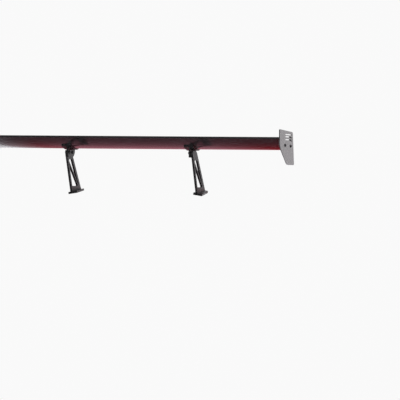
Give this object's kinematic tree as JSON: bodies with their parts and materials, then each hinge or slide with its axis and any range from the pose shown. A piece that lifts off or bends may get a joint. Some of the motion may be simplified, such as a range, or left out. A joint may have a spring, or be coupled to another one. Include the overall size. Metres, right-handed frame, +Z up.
{
  "type": "rear wing",
  "caption": "Single-element racing rear wing with endplates, on two leaning truss uprights that bolt to a boot lid; its angle of attack can be set.",
  "frame": {"origin": "below the middle of the whole wing, level with the lowest corner of the feet", "axes": "+X to the right seen from behind and along the span, +Y forwards in the direction of travel, +Z up"},
  "size_m": [1.6352, 0.4032, 0.3373],
  "materials": {
    "carbon_gloss": "2x2 twill carbon under a glossy clear coat",
    "carbon_structure": "bare cured carbon laminate",
    "black_anodised": "satin black anodised",
    "bare_aluminium": "machined",
    "black_steel": "black oxide",
    "rubber": "matte sheet rubber"
  },
  "bodies": {
    "mount": {"adjuster_bolt_left": "black_steel", "adjuster_bolt_right": "black_steel", "adjuster_nut_left": "black_steel", "adjuster_nut_right": "black_steel", "adjuster_spacer_left": "black_steel", "adjuster_spacer_right": "black_steel", "adjuster_washer_left": "black_steel", "adjuster_washer_right": "black_steel", "foot_gasket_left": "rubber", "foot_gasket_right": "rubber", "foot_left": "black_anodised", "foot_right": "black_anodised", "foot_screws_left": "black_steel", "foot_screws_right": "black_steel", "pivot_bolt_left": "black_steel", "pivot_bolt_right": "black_steel", "pivot_nut_left": "black_steel", "pivot_nut_right": "black_steel", "pivot_spacer_left": "black_steel", "pivot_spacer_right": "black_steel", "pivot_washer_left": "black_steel", "pivot_washer_right": "black_steel", "upright_left": "black_anodised", "upright_right": "black_anodised"},
    "wing": {"bracket_screws_left": "black_steel", "bracket_screws_right": "black_steel", "end_rib_left": "carbon_structure", "end_rib_right": "carbon_structure", "endplate_inserts_left": "bare_aluminium", "endplate_inserts_right": "bare_aluminium", "endplate_left": "carbon_gloss", "endplate_right": "carbon_gloss", "endplate_screws_left": "black_steel", "endplate_screws_right": "black_steel", "endplate_washers_left": "black_steel", "endplate_washers_right": "black_steel", "gurney_flap": "carbon_gloss", "lower_skin": "carbon_gloss", "main_spar": "carbon_structure", "mount_rib_left": "bare_aluminium", "mount_rib_right": "bare_aluminium", "rear_spar": "carbon_structure", "upper_skin": "carbon_gloss", "wing_bracket_left": "black_anodised", "wing_bracket_right": "black_anodised"}
  },
  "joints": [
    {"name": "angle_of_attack", "type": "hinge", "parent": "mount", "child": "wing", "pos_m": [0, -0.00665, 0.21697], "axis": [-1, 0, 0], "range_deg": [-4, 8]}
  ]
}
